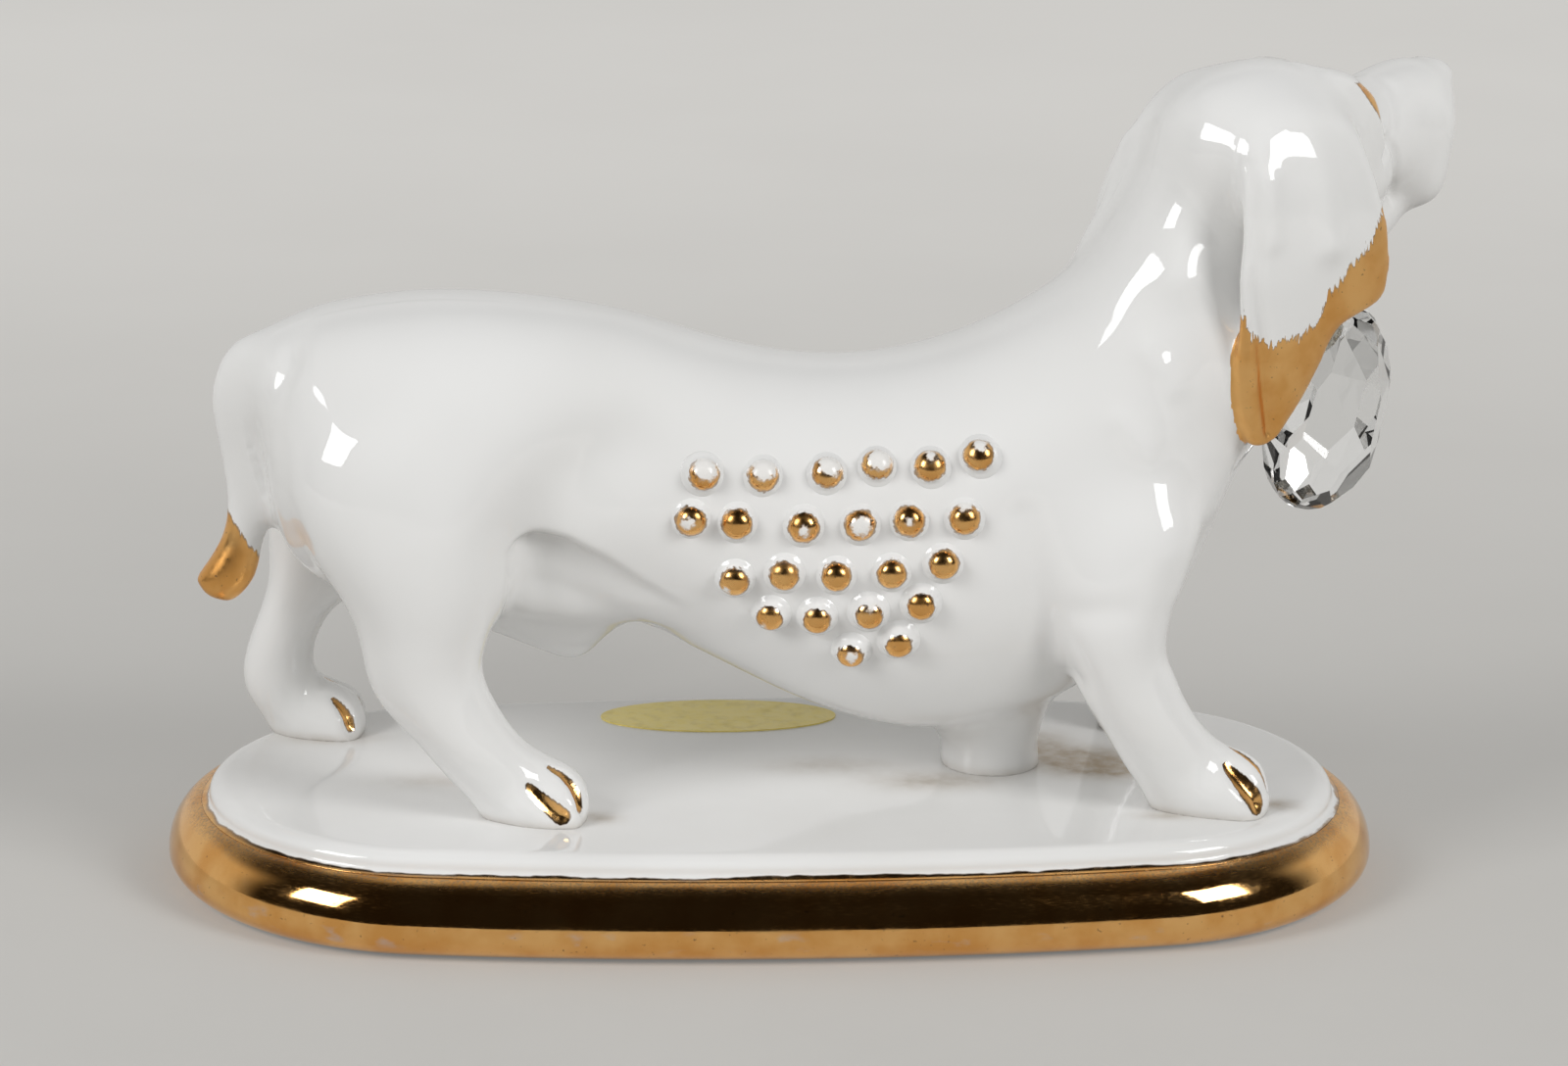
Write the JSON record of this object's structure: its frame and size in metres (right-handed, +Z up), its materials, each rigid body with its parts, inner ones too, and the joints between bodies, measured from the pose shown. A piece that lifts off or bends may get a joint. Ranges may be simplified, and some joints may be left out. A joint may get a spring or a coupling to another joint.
{
  "type": "porcelain dog figurine",
  "caption": "Glazed porcelain dachshund standing on a gilded oval plinth, head turned aside, with gold dots on its flank and a cut crystal drop at its throat.",
  "frame": {"origin": "centre of the plinth's foot, on the surface the figurine stands on", "axes": "+X along the plinth towards the dog's chest, +Y towards the dog's left side, +Z up"},
  "size_m": [0.178, 0.08, 0.1124],
  "materials": {
    "white_porcelain": "gloss",
    "gold_lustre": "polished",
    "cut_crystal": "polished",
    "clear_cement": "gloss",
    "foil_label": "satin"
  },
  "bodies": {
    "root": {"torso": "white_porcelain", "head": "white_porcelain", "ear_right": "white_porcelain", "ear_left": "white_porcelain", "tail": "white_porcelain", "foreleg_right": "white_porcelain", "foreleg_left": "white_porcelain", "hindleg_right": "white_porcelain", "hindleg_left": "white_porcelain", "chest_post": "white_porcelain", "plinth_deck": "white_porcelain", "plinth_rim": "gold_lustre", "flank_dots": "gold_lustre", "crystal_drop": "cut_crystal", "crystal_cement": "clear_cement", "label": "foil_label"}
  },
  "joints": []
}
